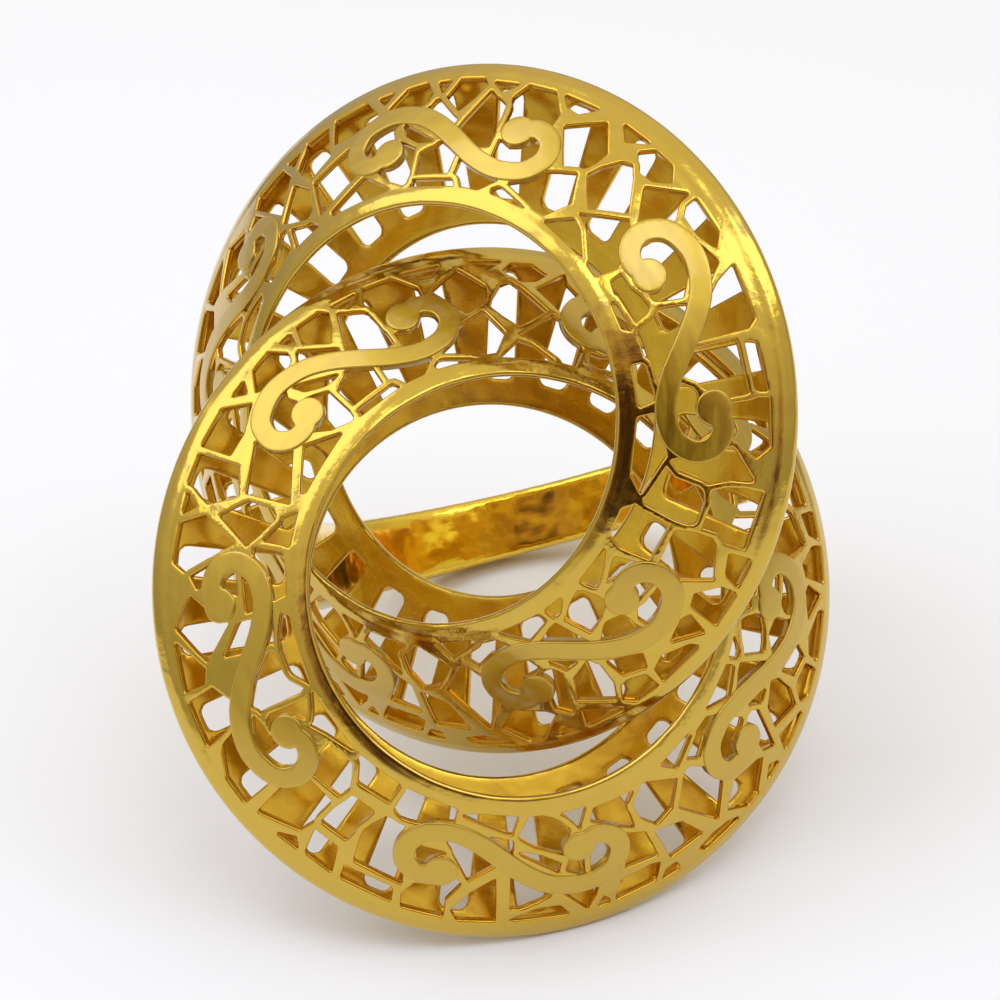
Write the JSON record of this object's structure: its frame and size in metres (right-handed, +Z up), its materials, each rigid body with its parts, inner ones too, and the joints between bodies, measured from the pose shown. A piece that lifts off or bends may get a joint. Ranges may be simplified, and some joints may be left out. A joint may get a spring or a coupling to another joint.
{
  "type": "openwork cocktail ring",
  "caption": "Wide gold finger ring: two linked, domed hoops pierced with S scrolls and irregular net, slotted behind, on a plain U-shaped finger band.",
  "frame": {"origin": "on the table under the middle of the ring, as it lies on its side", "axes": "+Z up from the table; the head leans back and looks towards -Y and up; X runs along the head, nearly across the finger"},
  "size_m": [0.0272, 0.029, 0.0288],
  "materials": {
    "hoop_gold": "polished yellow gold, satin scrolls",
    "band_gold": "polished yellow gold"
  },
  "bodies": {
    "root": {"lower_hoop": "hoop_gold", "upper_hoop": "hoop_gold", "finger_band": "band_gold"}
  },
  "joints": []
}
